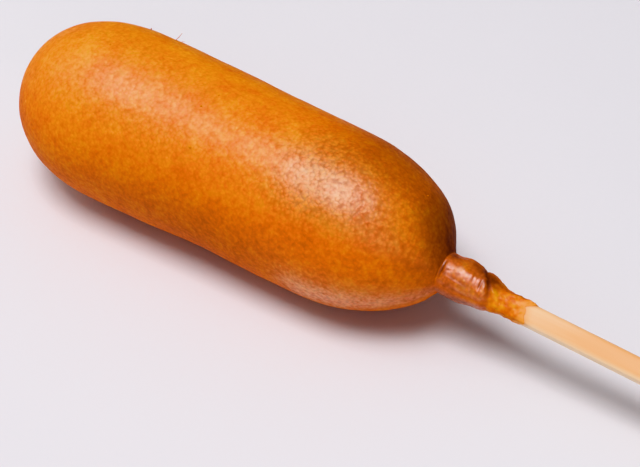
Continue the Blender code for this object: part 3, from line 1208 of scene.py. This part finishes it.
    def build(self, crust: Material) -> tuple[Object, Posture]:
        """Makes the batter.

        Args:
            crust: Its material.

        Returns:
            The finished piece, and the posture that it was laid down with.
        """
        mesh, spots = turn(self.outline(), self.segments)
        zones = [self.zone(spot) for spot in spots]
        shapes = (self.shaped_coat, self.shaped_collar, self.shaped_socket)
        shape_of = dict(zip(Zone, shapes))
        for vertex, spot, zone in zip(mesh.verts, spots, zones):
            vertex.co = shape_of[zone](spot)
        mesh.normal_update()
        reliefs = {Zone.COAT: self.coat_relief, Zone.COLLAR: self.collar_relief}
        grains = {Zone.COAT: 1.0, Zone.COLLAR: self.collar_grain, Zone.SOCKET: 0.0}
        moves, rows = [], []
        for vertex, spot, zone in zip(mesh.verts, spots, zones):
            height, tone, toast_and_shade = self.marked(spot)
            toast_and_shade += self.toasting_and_shade(spot, vertex.normal, zone)
            tone += self.browning_and_shading(spot, vertex.co, vertex.normal, zone)
            oil = self.oil(spot, zone) * max(0.0, 1.0 - 1.3 * toast_and_shade)
            rows.append((tone, toast_and_shade, oil, self.thinness(spot, vertex.co, zone), grains[zone]))
            move = ORIGIN
            if zone in reliefs:
                lift = reliefs[zone](spot, vertex.co) + height * MM
                move = vertex.normal * lift + self.filling(spot)
            moves.append(move)
        posture = self.posture.fitted(mesh, "batter_coat")
        displace(mesh, moves)
        write_attributes(mesh, dict(zip(CRUST_VALUES, zip(*rows))))
        mesh.transform(posture.matrix())
        self.settle(mesh)
        piece = finish_piece(mesh, "fried_coat", crust, "batter_coat")
        return piece, posture


@dataclass(frozen=True)
class Wisp:
    """A bent thread of batter that stands up from the coat at (x, angle)."""

    x: float
    angle: float
    heading: Triple
    length: float
    radius: float
    curl: float


@dataclass(frozen=True)
class LooseBatter:
    """Crumbs that cling to the coat, and fine wisps on its upper side."""

    coat: BatterCoat
    crumb_count: int = 6
    crumb_sizes: Pair = (0.14 * MM, 0.24 * MM)
    crumb_sunk: float = 0.42
    roughness: float = 0.06 * MM
    clear_of_floor: float = math.radians(52)
    seed: int = 11

    # Crumbs on the side that is seen most: place along the coat, angle and radius.
    placed_crumbs: Table = (
        (55.4 * MM, math.radians(132), 0.32 * MM),
        (105.4 * MM, math.radians(73), 0.20 * MM),
    )
    wisps: tuple[Wisp, ...] = (
        Wisp(24.7 * MM, math.radians(51), (0.05, 0.75, 0.66), 0.6 * MM, 0.20 * MM, 0.1 * MM),
        Wisp(31.6 * MM, math.radians(50), (0.42, 0.76, 0.50), 2.2 * MM, 0.075 * MM, 0.4 * MM),
        Wisp(32.4 * MM, math.radians(47), (0.80, 0.58, 0.20), 1.0 * MM, 0.07 * MM, -0.2 * MM),
    )

    def surface(self, skin: BVHTree, posture: Posture, x: float, angle: float) -> tuple[Vector, Vector]:
        """The place and normal of the coat's surface at x and an angle.

        Args:
            skin: The finished coat.
            posture: How the coat lies.
            x: Place along the coat's own axis.
            angle: Angle around it.

        Returns:
            The point, and which way the surface faces there.
        """
        matrix = posture.matrix()
        outside = matrix @ Vector((x, 0.1 * math.cos(angle), 0.1 * math.sin(angle)))
        point, normal, _, _ = skin.ray_cast(outside, matrix @ Vector((x, 0.0, 0.0)) - outside)
        return point, normal

    def crumb_spots(self) -> list[Station]:
        """(x, angle, radius) of every crumb, none of them under the coat."""
        draw = random.Random(self.seed)
        spots = list(self.placed_crumbs)
        free = math.pi - self.clear_of_floor
        for _ in range(self.crumb_count):
            x = draw.uniform(0.04, 0.97) * self.coat.length
            angle = 0.5 * math.pi + draw.uniform(-free, free)
            spots.append((x, angle, draw.uniform(*self.crumb_sizes)))
        return spots

    def shape_crumbs(self, skin: BVHTree, posture: Posture) -> BMesh:
        """The crumbs: small rough balls, partly sunk into the coat."""
        draw = random.Random(self.seed + 1)
        mesh = bmesh.new()
        for x, angle, radius in self.crumb_spots():
            point, normal = self.surface(skin, posture, x, angle)
            place = Matrix.Translation(point + normal * radius * (0.8 - self.crumb_sunk))
            facing = normal.to_track_quat("Z", "Y").to_matrix().to_4x4()
            spun = Matrix.Rotation(draw.uniform(0.0, math.tau), 4, "Z")
            size = Matrix.Diagonal((radius * draw.uniform(0.9, 1.6), radius, 0.8 * radius, 1.0))
            matrix = place @ facing @ spun @ size
            bmesh.ops.create_icosphere(mesh, subdivisions=1, radius=1.0, matrix=matrix)
        mesh.normal_update()
        displace(mesh, [v.normal * self.roughness * rough(v.co, 0.16 * MM, 3.7) for v in mesh.verts])
        return mesh

    def shape_wisps(self, skin: BVHTree, posture: Posture) -> BMesh:
        """The wisps: thin tapered threads, bent over."""
        mesh = bmesh.new()
        for wisp in self.wisps:
            first = len(mesh.verts)
            bmesh.ops.create_cone(
                mesh,
                cap_ends=True,
                segments=8,
                radius1=wisp.radius,
                radius2=0.45 * wisp.radius,
                depth=wisp.length,
                matrix=Matrix.Translation((0.0, 0.0, 0.5 * wisp.length)),
            )
            mesh.verts.index_update()
            new = [edge for edge in mesh.edges if edge.verts[0].index >= first]
            sides = [edge for edge in new if abs(edge.verts[0].co.z - edge.verts[1].co.z) > 1e-6]
            bmesh.ops.subdivide_edges(mesh, edges=sides, cuts=7, use_grid_fill=True)
            mesh.verts.ensure_lookup_table()
            point, normal = self.surface(skin, posture, wisp.x, wisp.angle)
            turned = Vector(wisp.heading).to_track_quat("Z", "Y").to_matrix().to_4x4()
            matrix = Matrix.Translation(point - normal * wisp.radius) @ turned
            for vertex in mesh.verts[first:]:
                share = vertex.co.z / wisp.length
                lumpy = 1.0 + 0.35 * rough(vertex.co, 0.0004, 5.1)
                x, y, z = vertex.co
                vertex.co = matrix @ Vector((lumpy * x + wisp.curl * share**2, lumpy * y, z))
        return mesh

    def build(self, coat_piece: Object, posture: Posture, crust: Material) -> None:
        """Makes the crumbs and the wisps, one piece of each.

        Args:
            coat_piece: The finished coat.
            posture: How it lies.
            crust: Their material.
        """
        data = coat_piece.data
        corners = [vertex.co for vertex in data.vertices]
        skin = BVHTree.FromPolygons(corners, [face.vertices[:] for face in data.polygons])
        kinds = (("batter_crumbs", self.shape_crumbs, 0.36), ("batter_wisps", self.shape_wisps, 0.74))
        for name, shape, tone in kinds:
            mesh = shape(skin, posture)
            bmesh.ops.recalc_face_normals(mesh, faces=mesh.faces)
            values = dict(zip(CRUST_VALUES, (tone, 0.05, 0.0, 0.0, 0.5)))
            count = len(mesh.verts)
            write_attributes(mesh, {attribute: [value] * count for attribute, value in values.items()})
            finish_piece(mesh, name, crust, None)


# The studio --------------------------------------------------------------------------------


@dataclass(frozen=True)
class Viewpoint:
    """Where the camera stands: it looks down on the corn dog's side and stick end."""

    azimuth: float = math.radians(33.2)
    elevation: float = math.radians(44.35)
    distance: float = 0.406
    beside: float = 0.0198
    below: float = 0.0155
    lens: float = 100.0
    sensor: float = 36.0

    def axes(self) -> Matrix:
        """Rotation from the camera's right, up and backward directions to the row frame."""
        from_above = 0.5 * math.pi - self.elevation
        return Matrix.Rotation(self.azimuth, 3, "Z") @ Matrix.Rotation(from_above, 3, "X")

    def build(self, middle: Vector) -> None:
        """Makes the scene's camera, which sees the coat's middle left of and above its own middle."""
        data = bpy.data.cameras.new("camera")
        data.lens = self.lens
        data.sensor_width = self.sensor
        camera = add_object("camera", data)
        place = middle + self.axes() @ Vector((self.beside, -self.below, self.distance))
        camera.matrix_world = Matrix.Translation(place) @ self.axes().to_4x4()
        bpy.context.scene.camera = camera


@dataclass(frozen=True)
class Softbox:
    """A square soft light that faces the corn dog."""

    name: str
    towards: Triple
    distance: float
    size: float
    power: float

    def build(self, middle: Vector, viewpoint: Viewpoint) -> None:
        """Makes the light.

        Args:
            middle: What it faces.
            viewpoint: Its direction is given in the camera's right, up and backward axes.
        """
        data = bpy.data.lights.new(self.name, "AREA")
        data.shape = "SQUARE"
        data.size = self.size
        data.energy = self.power
        light = add_object(self.name, data)
        direction = (viewpoint.axes() @ Vector(self.towards)).normalized()
        light.location = middle + direction * self.distance
        light.rotation_euler = direction.to_track_quat("Z", "Y").to_euler()
        LOG.info("%s: %.1f W", self.name, self.power)


@dataclass(frozen=True)
class Studio:
    """Pale paper, softboxes and the dim room around them."""

    viewpoint: Viewpoint = Viewpoint()
    paper: PaperFinish = PaperFinish()
    paper_size: float = 6.0
    paper_gap: float = 0.05 * MM
    softboxes: tuple[Softbox, ...] = (
        Softbox("key", (-0.16, 0.57, 0.80), 1.2, 0.54, 10.8),
        Softbox("overhead", (-0.22, 0.70, 0.68), 1.3, 0.9, 4.3),
        Softbox("side", (-0.74, 0.62, 0.18), 1.3, 0.8, 2.2),
        Softbox("fill", (0.10, -0.35, 0.93), 1.3, 1.0, 2.7),
    )
    room_bright: float = 0.18
    room_dark: float = 0.05
    room_seen: float = 0.75
    room_towards: Triple = (-0.80, 0.50, 0.30)
    room_colour: Colour = (0.97, 0.96, 1.0)

    def lay_paper(self) -> None:
        """Makes the pale floor just under the corn dog."""
        mesh = bmesh.new()
        bmesh.ops.create_grid(mesh, x_segments=4, y_segments=4, size=0.5 * self.paper_size)
        bmesh.ops.translate(mesh, verts=mesh.verts, vec=(0.0, 0.0, -self.paper_gap))
        floor = add_mesh("studio_floor", mesh, self.paper.build())

    def light_room(self) -> None:
        """Makes the room: bright on the key light's side, dim on the other, and plain to see."""
        world = bpy.data.worlds.new("studio_room")
        bpy.context.scene.world = world
        world.use_nodes = True
        graph = NodeGraph(world.node_tree)
        direction = graph.add("ShaderNodeTexCoord").outputs["Generated"]
        towards = (self.viewpoint.axes() @ Vector(self.room_towards)).normalized()
        facing = graph.add("ShaderNodeVectorMath", {0: direction, 1: towards}, operation="DOT_PRODUCT")
        light = graph.remap(facing.outputs["Value"], (-0.6, 0.7), (self.room_dark, self.room_bright))
        seen = graph.add("ShaderNodeLightPath").outputs["Is Camera Ray"]
        strength = graph.between(seen, light, self.room_seen)
        looks = {"Color": (*self.room_colour, 1.0), "Strength": strength}
        graph.feed(world.node_tree.nodes["Background"], looks)

    def build(self, middle: Vector) -> None:
        """Sets the studio up round the middle of the coat."""
        bpy.context.scene.view_settings.view_transform = "Khronos PBR Neutral"
        self.lay_paper()
        self.light_room()
        for softbox in self.softboxes:
            softbox.build(middle, self.viewpoint)
        self.viewpoint.build(middle)


def main() -> None:
    """Builds the corn dog and its studio."""
    logging.basicConfig(level=logging.INFO, format="%(name)s: %(message)s")
    stick = WoodenStick()
    coat = BatterCoat(stick)
    crust = FriedBatterFinish().build()
    coat_piece, posture = coat.build(crust)
    LooseBatter(coat).build(coat_piece, posture, crust)
    stick.build(posture, StickWoodFinish(), coat.hem_at)
    middle = posture.matrix() @ Vector((0.5 * coat.length, 0.0, 0.0))
    Studio().build(middle)


if __name__ == "__main__":
    main()
